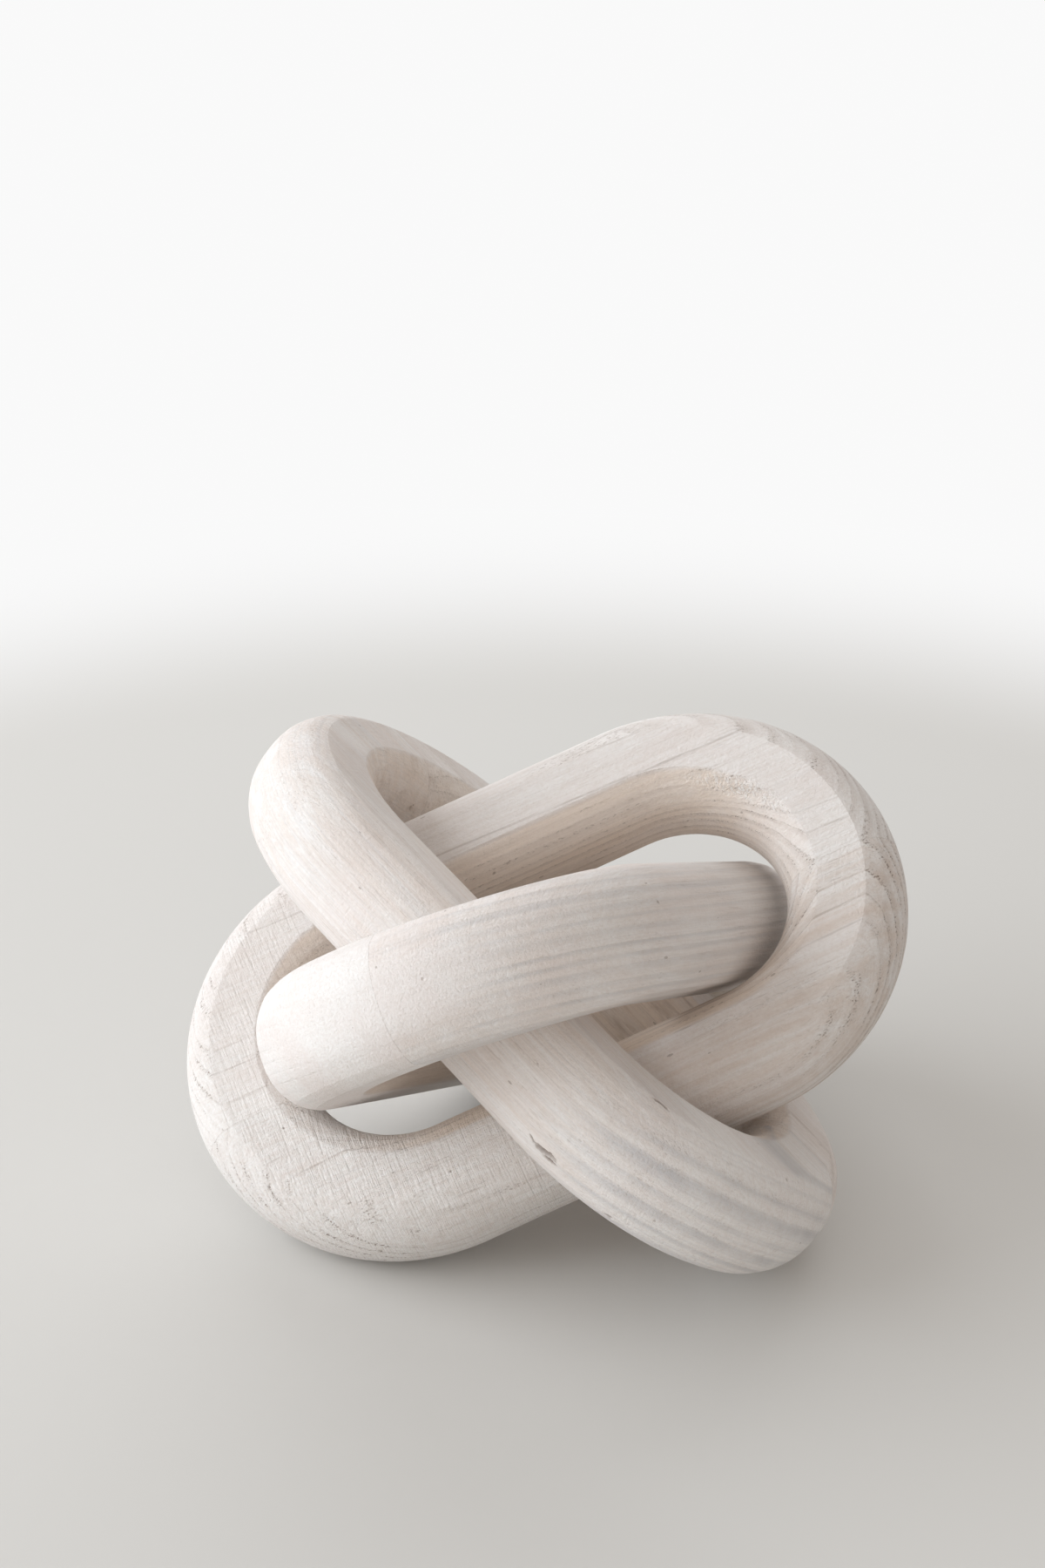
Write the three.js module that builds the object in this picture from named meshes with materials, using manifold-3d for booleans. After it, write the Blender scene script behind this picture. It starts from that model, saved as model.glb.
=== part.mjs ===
// Wooden knot ornament: three equal long links, threaded so that no two are linked with each other and yet
// none comes free. Every link is a ring sawn from a board that was glued up from two staves, with its edges
// rounded over. Millimetres, +Z up, the front towards -Y. The origin is on the table, under the middle.

import * as THREE from 'three';
import { mergeVertices } from 'three/addons/utils/BufferGeometryUtils.js';
import Module from 'manifold-3d';

const wasm = await Module();
wasm.setup();

// One link, seen flat on the bench
const linkLength = 180;
const linkWidth = 106;
const armWidth = 28.5;
const boardThickness = 30;

// What the rounding over leaves flat on the board's faces and on the sawn sides, and the rounding itself
const faceFlat = 11;
const sideFlat = 14.5;
const edgeRadius = 16;

// How far each link's glue line lies from the middle between its arms
const facingGlueLine = -7.8;
const crossingGlueLine = -12.8;
const closingGlueLine = -0.9;

// The link that is closed last round the other two has a dowel across each glued end
const dowelDiameter = 8;
const dowelLength = 30;
const dowelHoleSpare = 1;
const dowelChamfer = 1;

// Clearances: in the glue line, round a dowel, and between two links that touch
const glueGap = 0.3;
const dowelClearance = 0.3;
const linkClearance = 0.3;

// How each link stands before it settles, in degrees and millimetres: the heading of its long axis round
// the upright, the slope of that axis, the lean about it, and where its middle lies beside the knot's
const facingStand = { headingAngle: 12.9, slopeAngle: 22.2, leanAngle: 32.7, right: 0.7, back: -0.1 };
const crossingStand = { headingAngle: 136.4, slopeAngle: 23.9, leanAngle: 27.3, right: -1.5, back: 0.4 };
const closingStand = { headingAngle: -115.9, slopeAngle: 22.7, leanAngle: 31.1, right: 0.8, back: -0.3 };

// Fineness of the surface, and of the points that feel for contact
const bowSteps = 30;
const edgeSteps = 6;
const dowelSides = 24;
const contactSpacing = 3;

// Settling stops when no link is moved by more than the tolerance
const settlePasses = 1500;
const settleTolerance = 0.002;

const armHalfLength = (linkLength - linkWidth) / 2;
const bowRadius = (linkWidth - armWidth) / 2;
const halfWidth = armWidth / 2;
const halfThickness = boardThickness / 2;
const edgeCentre = roundingCentre();

// The rounding is one arc from the face's flat to the side's flat, and this is the upper outer one's centre
function roundingCentre() {
  const faceEnd = new THREE.Vector2(faceFlat / 2, halfThickness);
  const sideEnd = new THREE.Vector2(halfWidth, sideFlat / 2);
  const chord = sideEnd.clone().sub(faceEnd);
  const inward = new THREE.Vector2(chord.y, -chord.x).normalize();
  const depth = Math.sqrt(edgeRadius ** 2 - chord.lengthSq() / 4);
  return faceEnd.add(sideEnd).divideScalar(2).addScaledVector(inward, depth);
}

// The arm's cut face, x across the arm and y through the board
function armSection() {
  const { x, y } = edgeCentre;
  const low = Math.atan2(sideFlat / 2 - y, halfWidth - x);
  const high = Math.atan2(halfThickness - y, faceFlat / 2 - x);
  const section = new THREE.Shape();
  section.absarc(x, y, edgeRadius, low, high);
  section.absarc(-x, y, edgeRadius, Math.PI - high, Math.PI - low);
  section.absarc(-x, -y, edgeRadius, Math.PI + low, Math.PI + high);
  section.absarc(x, -y, edgeRadius, -high, -low);
  return section.getPoints(edgeSteps / 2);
}

// Stations round the ring: a point on the middle line and the direction away from the window
function ringStations(stepsRoundBow, stepsAlongArm) {
  const stations = [];
  for (const end of [1, -1]) {
    const bowMiddle = new THREE.Vector2(end * armHalfLength, 0);
    for (let i = 0; i <= stepsRoundBow; i++) {
      const angle = Math.PI * (i / stepsRoundBow - end / 2);
      const outward = new THREE.Vector2(Math.cos(angle), Math.sin(angle));
      stations.push({ middle: bowMiddle.clone().addScaledVector(outward, bowRadius), outward });
    }
    const { middle, outward } = stations.at(-1);
    for (let i = 1; i < stepsAlongArm; i++) {
      const along = new THREE.Vector2(-end * 2 * armHalfLength * i / stepsAlongArm, 0);
      stations.push({ middle: middle.clone().add(along), outward });
    }
  }
  return stations;
}

function pointOn(station, cut) {
  const flat = station.middle.clone().addScaledVector(station.outward, cut.x);
  return new THREE.Vector3(flat.x, flat.y, cut.y);
}

// The whole ring as one closed sweep of the arm's section
function ringGeometry() {
  const section = armSection();
  const stations = ringStations(bowSteps, 1);
  const points = stations.flatMap((station) => section.map((cut) => pointOn(station, cut)));
  const index = [];
  for (let i = 0; i < stations.length; i++) {
    const here = i * section.length;
    const next = ((i + 1) % stations.length) * section.length;
    for (let j = 0; j < section.length; j++) {
      const k = (j + 1) % section.length;
      index.push(here + j, next + j, next + k, here + j, next + k, here + k);
    }
  }
  return new THREE.BufferGeometry().setFromPoints(points).setIndex(index);
}

function toSolid(geometry) {
  const bare = geometry.clone();
  bare.deleteAttribute('normal');
  bare.deleteAttribute('uv');
  const merged = mergeVertices(bare);
  return new wasm.Manifold(new wasm.Mesh({
    numProp: 3,
    vertProperties: new Float32Array(merged.attributes.position.array),
    triVerts: new Uint32Array(merged.index.array),
  }));
}

function toGeometry(solid) {
  const { vertProperties, triVerts } = solid.getMesh();
  const geometry = new THREE.BufferGeometry();
  geometry.setAttribute('position', new THREE.BufferAttribute(vertProperties, 3));
  geometry.setIndex(new THREE.BufferAttribute(triVerts, 1));
  geometry.computeVertexNormals();
  return geometry;
}

// All of the space on one side of a glue line: side is 1 towards +Y, -1 towards -Y
function besideGlueLine(glueLine, side) {
  const depth = 2 * linkWidth;
  const block = new THREE.BoxGeometry(2 * linkLength, depth, 2 * boardThickness);
  return block.translate(0, glueLine + side * (glueGap + depth) / 2, 0);
}

// A round peg across the glue line, in the middle of one end's section
function acrossGlueLine(geometry, glueLine, end) {
  return geometry.translate(end * (linkLength - armWidth) / 2, glueLine, 0);
}

function dowelHole(glueLine, end) {
  const radius = dowelDiameter / 2 + dowelClearance;
  const hole = new THREE.CylinderGeometry(radius, radius, dowelLength + 2 * dowelHoleSpare, dowelSides);
  return acrossGlueLine(hole, glueLine, end);
}

function dowelGeometry(glueLine, end) {
  const radius = dowelDiameter / 2;
  const reach = dowelLength / 2;
  const profile = [[0, -reach], [radius - dowelChamfer, -reach], [radius, -reach + dowelChamfer],
    [radius, reach - dowelChamfer], [radius - dowelChamfer, reach], [0, reach]];
  const dowel = new THREE.LatheGeometry(profile.map(([x, y]) => new THREE.Vector2(x, y)), dowelSides);
  return acrossGlueLine(dowel, glueLine, end);
}

function halfGeometry(ring, glueLine, side, dowelled) {
  let half = ring.intersect(toSolid(besideGlueLine(glueLine, side)));
  for (const end of dowelled ? [1, -1] : []) {
    half = half.subtract(toSolid(dowelHole(glueLine, end)));
  }
  return toGeometry(half);
}

// Distance from a point to a link, both in the link's own frame; negative inside the wood
function distanceToLink(point) {
  const past = Math.max(Math.abs(point.x) - armHalfLength, 0);
  const across = Math.abs(Math.hypot(past, point.y) - bowRadius);
  const through = Math.abs(point.z);
  const rounding = Math.hypot(across - edgeCentre.x, through - edgeCentre.y) - edgeRadius;
  return Math.max(across - halfWidth, through - halfThickness, rounding);
}

// Straight away from the link at a point, from how the distance changes over a short step along each axis
function directionFromLink(point) {
  const shortStep = 0.01;
  const slope = (axis) => distanceToLink(point.clone().addScaledVector(axis, shortStep))
    - distanceToLink(point.clone().addScaledVector(axis, -shortStep));
  const [x, y, z] = [[1, 0, 0], [0, 1, 0], [0, 0, 1]].map((axis) => slope(new THREE.Vector3(...axis)));
  return new THREE.Vector3(x, y, z).normalize();
}

function contactPoints() {
  const stepsRoundBow = Math.ceil(Math.PI * bowRadius / contactSpacing);
  const stepsAlongArm = Math.ceil(2 * armHalfLength / contactSpacing);
  const stations = ringStations(stepsRoundBow, stepsAlongArm);
  const section = armSection();
  return stations.flatMap((station) => section.map((cut) => pointOn(station, cut)));
}

// A link as it is set down: turned by its lean, slope and heading, with its middle above the table
function setDown({ headingAngle, slopeAngle, leanAngle, right, back }) {
  const [turn, rise, roll] = [headingAngle, -slopeAngle, leanAngle].map(THREE.MathUtils.degToRad);
  const body = new THREE.Group();
  body.quaternion.setFromEuler(new THREE.Euler(roll, rise, turn, 'ZYX'));
  body.position.set(right, back, linkWidth / 2);
  return body;
}

function lowestPoint(body, points) {
  let lowest = new THREE.Vector3(0, 0, Infinity);
  const place = new THREE.Matrix4().compose(body.position, body.quaternion, body.scale);
  for (const point of points) {
    const placed = point.clone().applyMatrix4(place);
    if (placed.z < lowest.z) lowest = placed;
  }
  return lowest;
}

// Where a body's surface comes nearest to another link
function nearestPoint(body, other, points) {
  const place = new THREE.Matrix4().compose(body.position, body.quaternion, body.scale);
  const otherPlace = new THREE.Matrix4().compose(other.position, other.quaternion, other.scale);
  const intoOther = otherPlace.clone().invert().multiply(place);
  let nearest = { gap: Infinity };
  const moved = new THREE.Vector3();
  for (const point of points) {
    const gap = distanceToLink(moved.copy(point).applyMatrix4(intoOther));
    if (gap < nearest.gap) nearest = { gap, local: moved.clone() };
  }
  return {
    gap: nearest.gap,
    away: directionFromLink(nearest.local).applyQuaternion(other.quaternion),
    at: nearest.local.applyMatrix4(otherPlace),
  };
}

// How far from a link's middle its wood lies on average, which is how hard the link is to turn
const turningRadius = linkLength / 3;

// How far a link gives at a point that is pushed
function giveAt(body, at, along) {
  const turning = at.clone().sub(body.position).cross(along);
  return 1 + turning.lengthSq() / turningRadius ** 2;
}

// The push itself: the link shifts and turns, as a free body does
function push(body, at, along, amount) {
  const turning = at.clone().sub(body.position).cross(along).multiplyScalar(amount / turningRadius ** 2);
  const turn = new THREE.Quaternion().setFromAxisAngle(turning.clone().normalize(), turning.length());
  body.quaternion.premultiply(turn).normalize();
  body.position.addScaledVector(along, amount);
}

// Lets every link down onto the table and moves each pair until their nearest points are one clearance apart
function settle(bodies) {
  const points = contactPoints();
  const up = new THREE.Vector3(0, 0, 1);
  for (const body of bodies) body.position.z -= lowestPoint(body, points).z;
  for (let pass = 0; pass < settlePasses; pass++) {
    let worst = 0;
    bodies.forEach((body, i) => {
      const other = bodies[(i + 1) % bodies.length];
      const [near, far] = [nearestPoint(body, other, points), nearestPoint(other, body, points)];
      const [one, two, contact] = near.gap < far.gap ? [body, other, near] : [other, body, far];
      const short = linkClearance - contact.gap;
      const share = short / (giveAt(one, contact.at, contact.away) + giveAt(two, contact.at, contact.away));
      push(one, contact.at, contact.away, share);
      push(two, contact.at, contact.away, -share);
      worst = Math.max(worst, Math.abs(short));
    });
    for (const body of bodies) {
      const foot = lowestPoint(body, points);
      push(body, foot, up, -foot.z / giveAt(body, foot, up));
      worst = Math.max(worst, Math.abs(foot.z));
    }
    if (worst < settleTolerance) break;
  }
}

const facingLink = {
  name: 'facing_link', stand: facingStand, glueLine: facingGlueLine, dowelled: false,
  halves: { upper_half: 0xded6d1, lower_half: 0xd8cfc8 },
};
const crossingLink = {
  name: 'crossing_link', stand: crossingStand, glueLine: crossingGlueLine, dowelled: false,
  halves: { near_half: 0xe0d9d4, far_half: 0xd3c9c0 },
};
const closingLink = {
  name: 'closing_link', stand: closingStand, glueLine: closingGlueLine, dowelled: true,
  halves: { right_half: 0xd5cfcb, left_half: 0xe2dedb },
};
const dowelColour = 0xd9b98c;

function woodenMesh(name, geometry, color) {
  const wood = new THREE.MeshStandardMaterial({ color, roughness: 0.8, metalness: 0 });
  const mesh = new THREE.Mesh(geometry, wood);
  mesh.name = name;
  return mesh;
}

// One link's halves, and its dowels if it has them, in the link's own frame
function fillLink(body, { name, glueLine, dowelled, halves }, ring) {
  Object.entries(halves).forEach(([half, colour], i) => {
    const side = i === 0 ? 1 : -1;
    body.add(woodenMesh(`${name}_${half}`, halfGeometry(ring, glueLine, side, dowelled), colour));
  });
  if (dowelled) {
    body.add(woodenMesh(`${name}_front_dowel`, dowelGeometry(glueLine, 1), dowelColour));
    body.add(woodenMesh(`${name}_back_dowel`, dowelGeometry(glueLine, -1), dowelColour));
  }
}

function buildKnot() {
  const links = [facingLink, crossingLink, closingLink];
  const bodies = links.map((link) => setDown(link.stand));
  settle(bodies);
  const ring = toSolid(ringGeometry());
  links.forEach((link, i) => fillLink(bodies[i], link, ring));
  const knot = new THREE.Group();
  knot.add(...bodies);
  const box = new THREE.Box3().setFromObject(knot, true);
  const middle = box.getCenter(new THREE.Vector3());
  knot.position.set(-middle.x, -middle.y, -box.min.z);
  return knot;
}

export default buildKnot();
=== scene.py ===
# Wooden knot ornament: three threaded links of whitewashed wood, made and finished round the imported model.
# Metres, +Z up, the front towards -Y. Each link is swept flat on the bench, parted along its glue line and
# carried to its place. On a link, X runs along its long way, Y across it and Z through its thickness.
import math

import bmesh
import bpy
import numpy as np
from mathutils import Matrix, Vector, noise
from mathutils.bvhtree import BVHTree


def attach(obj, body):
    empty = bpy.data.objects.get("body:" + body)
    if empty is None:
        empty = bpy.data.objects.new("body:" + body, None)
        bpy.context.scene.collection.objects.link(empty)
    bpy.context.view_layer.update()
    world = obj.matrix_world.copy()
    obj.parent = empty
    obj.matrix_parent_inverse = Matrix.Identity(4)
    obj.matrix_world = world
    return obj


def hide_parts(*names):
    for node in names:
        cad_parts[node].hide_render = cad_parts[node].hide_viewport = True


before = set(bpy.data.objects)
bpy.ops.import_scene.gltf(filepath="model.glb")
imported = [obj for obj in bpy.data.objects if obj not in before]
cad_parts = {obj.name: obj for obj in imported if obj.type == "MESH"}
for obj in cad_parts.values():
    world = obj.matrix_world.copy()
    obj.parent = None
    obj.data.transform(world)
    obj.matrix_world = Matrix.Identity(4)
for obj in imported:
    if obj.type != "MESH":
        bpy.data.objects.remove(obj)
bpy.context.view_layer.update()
print("frame: loaded", len(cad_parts), "nodes")


# Camera, at the photograph's place and angle
photoView = {
    "place": (-0.0064, -0.6108, 0.3850),
    "pitchDown": 24.54,
    "roll": 1.05,
    "lens": 66.28,
    "sensorLongSide": 36.0,
}


def addCamera(view):
    data = bpy.data.cameras.new("camera")
    data.lens = view["lens"]
    data.sensor_width = view["sensorLongSide"]
    camera = bpy.data.objects.new("camera", data)
    tilt = Matrix.Rotation(math.radians(90 - view["pitchDown"]), 4, "X")
    roll = Matrix.Rotation(math.radians(view["roll"]), 4, "Z")
    camera.matrix_world = Matrix.Translation(view["place"]) @ tilt @ roll
    bpy.context.scene.collection.objects.link(camera)
    bpy.context.scene.camera = camera


# Where a packed link lies
def triangleCorners(nodeName):
    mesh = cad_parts[nodeName].data
    mesh.calc_loop_triangles()
    return np.array([[mesh.vertices[i].co[:] for i in face.vertices] for face in mesh.loop_triangles])


def linkPlace(nodeNames):
    corners = np.concatenate([triangleCorners(name) for name in nodeNames])
    volumes = np.linalg.det(corners) / 6  # of the pyramid from the origin to each triangle
    centre = np.einsum("t,tka->a", volumes, corners) / 4 / volumes.sum()
    local = corners - centre
    pyramids = np.linalg.det(local) / 6
    sums = local.sum(axis=1)
    spread = np.einsum("t,ta,tb->ab", pyramids, sums, sums)
    spread += np.einsum("t,tka,tkb->ab", pyramids, local, local)
    _, axes = np.linalg.eigh(spread)
    along, across = (Vector(axes[:, k]) * (1 if axes[2, k] > 0 else -1) for k in (2, 1))  # both rise
    through = along.cross(across)
    place = Matrix((along, across, through)).transposed().to_4x4()
    place.translation = Vector(centre)
    return place


# One link, seen flat on the bench
ringSize = {
    "length": 0.180,
    "width": 0.106,
    "armWidth": 0.0285,
    "thickness": 0.030,
    "faceFlat": 0.011,
    "sideFlat": 0.0145,
    "edgeRadius": 0.019,
    "roundingSteps": 15,
    "flatCuts": 7,
    "mirrorMerge": 0.000001,
    "sweepMerge": 0.00001,
    "armSteps": 90,
    "bowSteps": 160,
}
halfArm = (ringSize["length"] - ringSize["width"]) / 2
bowRadius = (ringSize["width"] - ringSize["armWidth"]) / 2


# What hand sanding leaves: the creases along the sides gone and those along the faces soft, and a surface
# that waves by fractions of a millimetre
sanding = {
    "sidePasses": 60,
    "sideReach": 0.0122,
    "facePasses": 1,
    "passStrength": 0.5,
    "skim": 0.00010,
    "waveDepth": 0.00016,
    "waveLength": 0.030,
    "rippleDepth": 0.00006,
    "rippleLength": 0.007,
    "seedShift": (7.3, 3.1, 0.0),
}


def rubDown(bm, verts, passes):
    everyWay = {"use_axis_x": True, "use_axis_y": True, "use_axis_z": True}
    for _ in range(passes):
        bmesh.ops.smooth_vert(bm, verts=verts, factor=sanding["passStrength"], **everyWay)


def armOutline(bm, size):
    sideEnd = Vector((0, size["armWidth"] / 2, size["sideFlat"] / 2))
    faceEnd = Vector((0, size["faceFlat"] / 2, size["thickness"] / 2))
    chord = faceEnd - sideEnd
    inward = Vector((0, -chord.z, chord.y)).normalized()
    toCentre = math.sqrt(size["edgeRadius"] ** 2 - chord.length_squared / 4)
    centre = (sideEnd + faceEnd) / 2 + inward * toCentre
    opening = 2 * math.asin(chord.length / 2 / size["edgeRadius"])
    # a quarter of the outline, then its mirror images
    start = bm.verts.new(sideEnd)
    rounding = {"cent": centre, "axis": (1, 0, 0), "angle": opening, "steps": size["roundingSteps"]}
    spun = bmesh.ops.spin(bm, geom=[start], **rounding)
    end = next(item for item in spun["geom_last"] if isinstance(item, bmesh.types.BMVert))
    sideMiddle = bm.verts.new((0, sideEnd.y, 0))
    faceMiddle = bm.verts.new((0, 0, faceEnd.z))
    flats = [bm.edges.new((sideMiddle, start)), bm.edges.new((end, faceMiddle))]
    bmesh.ops.subdivide_edges(bm, edges=flats, cuts=size["flatCuts"])
    mirroring = {"matrix": Matrix(), "merge_dist": size["mirrorMerge"]}
    for axis in ("Y", "Z"):
        bmesh.ops.mirror(bm, geom=bm.verts[:] + bm.edges[:], axis=axis, **mirroring)
    # hand sanding has rounded the creases along the sides away, and left the arm as wide as it was
    rubDown(bm, [vert for vert in bm.verts if abs(vert.co.z) < sanding["sideReach"]], sanding["sidePasses"])
    widest = max(vert.co.y for vert in bm.verts)
    bmesh.ops.scale(bm, vec=(1, size["armWidth"] / 2 / widest, 1), verts=bm.verts[:])


def sweptRing(size):
    bm = bmesh.new()
    armOutline(bm, size)
    bmesh.ops.translate(bm, verts=bm.verts[:], vec=(-halfArm, bowRadius, 0))
    front = bm.verts[:] + bm.edges[:]
    for way in (1, -1):
        step = (way * 2 * halfArm / size["armSteps"], 0, 0)
        arm = bmesh.ops.spin(bm, geom=front, axis=(0, 0, 1), dvec=step, angle=0, steps=size["armSteps"])
        turn = {"cent": (way * halfArm, 0, 0), "axis": (0, 0, -1), "angle": math.pi}
        bow = bmesh.ops.spin(bm, geom=arm["geom_last"], steps=size["bowSteps"], **turn)
        front = bow["geom_last"]
    bmesh.ops.remove_doubles(bm, verts=bm.verts[:], dist=size["sweepMerge"])
    bmesh.ops.recalc_face_normals(bm, faces=bm.faces[:])
    return bm


# The outer side of the bows stands a little rounder than the arms' sides, most at the link's two ends
def roundEnds(bm, bulge):
    for vert in bm.verts:
        past = max(abs(vert.co.x) - halfArm, 0)
        outward = Vector((math.copysign(past, vert.co.x), vert.co.y, 0))
        offset = outward.length - bowRadius
        if past > 0 and offset > 0:
            share = past / outward.length
            vert.co += outward.normalized() * bulge * share ** 2 * offset / (ringSize["armWidth"] / 2)


def noiseShare(point):
    return 0.5 + 0.5 * noise.noise(point)


def sandByHand(bm, seed):
    rubDown(bm, bm.verts[:], sanding["facePasses"])
    bm.normal_update()
    shift = Vector(sanding["seedShift"]) * seed
    for vert in bm.verts:
        wave = noiseShare(vert.co / sanding["waveLength"] + shift)
        ripple = noiseShare(vert.co / sanding["rippleLength"] - shift)
        depth = sanding["skim"] + sanding["waveDepth"] * wave + sanding["rippleDepth"] * ripple
        vert.co -= vert.normal * depth


# Cracks, nicks and torn grain, each along a short route on the surface, ragged and narrower at its two ends
markShape = {
    "reachInWidths": 1.5,
    "reachMargin": 0.0015,
    "cuts": 3,
    "raggedShare": 0.4,
    "bluntEnd": 0.12,
    "leastTaper": 0.3,
    "tearGrit": 1.7,
}


def routeDistance(point, route):
    nearest = (1, 0)
    for number, (start, end) in enumerate(zip(route, route[1:])):
        run = end - start
        part = min(max((point - start).dot(run) / run.length_squared, 0), 1)
        gap = (point - start - run * part).length
        nearest = min(nearest, (gap, (number + part) / (len(route) - 1)))
    return nearest


def vertsNear(bm, route, reach):
    middle = sum(route, Vector()) / len(route)
    spread = max((point - middle).length for point in route) + reach
    close = [vert for vert in bm.verts if (vert.co - middle).length < spread]
    return [vert for vert in close if routeDistance(vert.co, route)[0] < reach]


def cutMark(bm, mark, surface, stain, torn):
    route = [surface.find_nearest(Vector(point))[0] for point in mark["route"]]
    reach = mark["width"] * markShape["reachInWidths"] + markShape["reachMargin"]
    blunt = markShape["bluntEnd"]
    edges = list({edge for vert in vertsNear(bm, route, reach) for edge in vert.link_edges})
    bmesh.ops.subdivide_edges(bm, edges=edges, cuts=markShape["cuts"], use_grid_fill=True)
    bm.normal_update()
    for vert in vertsNear(bm, route, reach):
        gap, part = routeDistance(vert.co, route)
        ragged = noise.noise(vert.co / mark["grit"]) * mark["width"] * markShape["raggedShare"]
        taper = math.sin(math.pi * (blunt + (1 - 2 * blunt) * part))
        halfWidth = mark["width"] * max(taper, markShape["leastTaper"])
        amount = taper * max(0, 1 - ((gap + ragged) / halfWidth) ** 2)
        lifted = mark["tear"] * noiseShare(vert.co / mark["grit"] * markShape["tearGrit"])
        vert.co -= vert.normal * mark["depth"] * amount * (1 - lifted)
        vert[stain] = max(vert[stain], mark["stain"] * amount)
        vert[torn] = max(vert[torn], mark["tear"] * amount)


# Parting a link along its glue line, and closing the sawn ends
glueJoint = {
    "gap": 0.00001,
    "snap": 0.00015,
    "holeRadius": 0.0043,
    "holeDepth": 0.0155,
    "holeSides": 48,
}


def sawnHalf(ring, glueLine, side, dowels):
    bm = ring.copy()
    level = glueLine + side * glueJoint["gap"] / 2
    plane = {"plane_co": (0, level, 0), "plane_no": (0, side, 0)}
    geometry = bm.verts[:] + bm.edges[:] + bm.faces[:]
    sawing = {"dist": glueJoint["snap"], "use_snap_center": True, "clear_inner": True}
    bmesh.ops.bisect_plane(bm, geom=geometry, **plane, **sawing)
    rims = [edge for edge in bm.edges if edge.is_boundary]
    if dowels:
        boreEnds(bm, rims, level, side)
    else:
        bmesh.ops.holes_fill(bm, edges=rims)
    bmesh.ops.recalc_face_normals(bm, faces=bm.faces[:])
    for edge in rims:
        edge.smooth = False
    return bm


# A blind bore for the dowel in each of the two sawn ends
def boreEnds(bm, rims, level, side):
    for way in (1, -1):
        rim = [edge for edge in rims if edge.verts[0].co.x * way > 0]
        reaches = [vert.co.x for edge in rim for vert in edge.verts]
        middle = Vector(((min(reaches) + max(reaches)) / 2, level, 0))
        flat = Matrix.Translation(middle) @ Matrix.Rotation(math.pi / 2, 4, "X")
        hole = {"radius": glueJoint["holeRadius"], "segments": glueJoint["holeSides"], "matrix": flat}
        circle = bmesh.ops.create_circle(bm, cap_ends=False, **hole)["verts"]
        mouth = list({edge for vert in circle for edge in vert.link_edges})
        bmesh.ops.bridge_loops(bm, edges=rim + mouth)
        wall = bmesh.ops.extrude_edge_only(bm, edges=mouth)["geom"]
        floorVerts = [item for item in wall if isinstance(item, bmesh.types.BMVert)]
        bmesh.ops.translate(bm, verts=floorVerts, vec=(0, side * glueJoint["holeDepth"], 0))
        floorEdges = [item for item in wall if isinstance(item, bmesh.types.BMEdge) and item.is_boundary]
        bmesh.ops.holes_fill(bm, edges=floorEdges)
        for edge in mouth + floorEdges:
            edge.smooth = False


# Node helpers
def addNode(tree, kind, inputs=None, **settings):
    node = tree.nodes.new("ShaderNode" + kind)
    for name, value in settings.items():
        setattr(node, name, value)
    for name, value in (inputs or {}).items():
        if isinstance(value, bpy.types.NodeSocket):
            tree.links.new(value, node.inputs[name])
        else:
            node.inputs[name].default_value = value
    return node


def newMaterial(name):
    material = bpy.data.materials.new(name)
    material.use_nodes = True
    material.node_tree.nodes.clear()
    return material, material.node_tree


def calc(tree, operation, *values):
    return addNode(tree, "Math", dict(enumerate(values)), operation=operation).outputs[0]


def product(tree, *values):
    result = values[0]
    for value in values[1:]:
        result = calc(tree, "MULTIPLY", result, value)
    return result


def scaleAndMove(tree, vector, scale, shift):
    return addNode(tree, "VectorMath", {0: vector, 1: scale, 2: shift}, operation="MULTIPLY_ADD").outputs[0]


def remap(tree, value, low, high, start=0.0, end=1.0):
    inputs = {"Value": value, "From Min": low, "From Max": high, "To Min": start, "To Max": end}
    return addNode(tree, "MapRange", inputs, interpolation_type="SMOOTHSTEP").outputs["Result"]


def grainNoise(tree, vector, scale, shift, detail, roughness=0.5):
    moved = scaleAndMove(tree, vector, scale, shift)
    inputs = {"Vector": moved, "Scale": 1.0, "Detail": detail, "Roughness": roughness}
    return addNode(tree, "TexNoise", inputs).outputs["Fac"]


def mixColour(tree, factor, first, second):
    node = addNode(tree, "Mix", data_type="RGBA", clamp_factor=True)
    # a Mix node for colours has its factor in socket 0 and its colours in sockets 6 and 7
    for socket, value in zip((node.inputs[0], node.inputs[6], node.inputs[7]), (factor, first, second)):
        if isinstance(value, bpy.types.NodeSocket):
            tree.links.new(value, socket)
        else:
            socket.default_value = value if isinstance(value, float) else (*value, 1.0)
    return node.outputs[2]


# The finish: light soft wood under a thin white wash, sanded by hand. The material counts in millimetres.
millimetres = 1000
washedWood = {
    "wash": (0.835, 0.808, 0.788),
    "rosyWash": (0.800, 0.742, 0.715),
    "paleWash": (0.870, 0.856, 0.843),
    # warm brown of the wood's own streaks, laid on more where warmFade has come in, there partly as painted
    # warm shade
    "warmStreak": (0.640, 0.490, 0.390),
    # bare wood, and the painted warm shade on the walls of each link's window
    "bareWoodAndShade": (0.825, 0.705, 0.600),
    # darker brown patches, laid only within that bare wood and painted warm shade
    "darkPatch": (0.420, 0.300, 0.210),
    "fibre": (0.590, 0.490, 0.420),
    "hairline": (0.330, 0.265, 0.225),
    "pore": (0.270, 0.205, 0.165),
    "crack": (0.160, 0.105, 0.075),
    "roughness": 0.74,
    "specular": 0.32,
    "reliefDepth": 0.00045,
}

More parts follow.
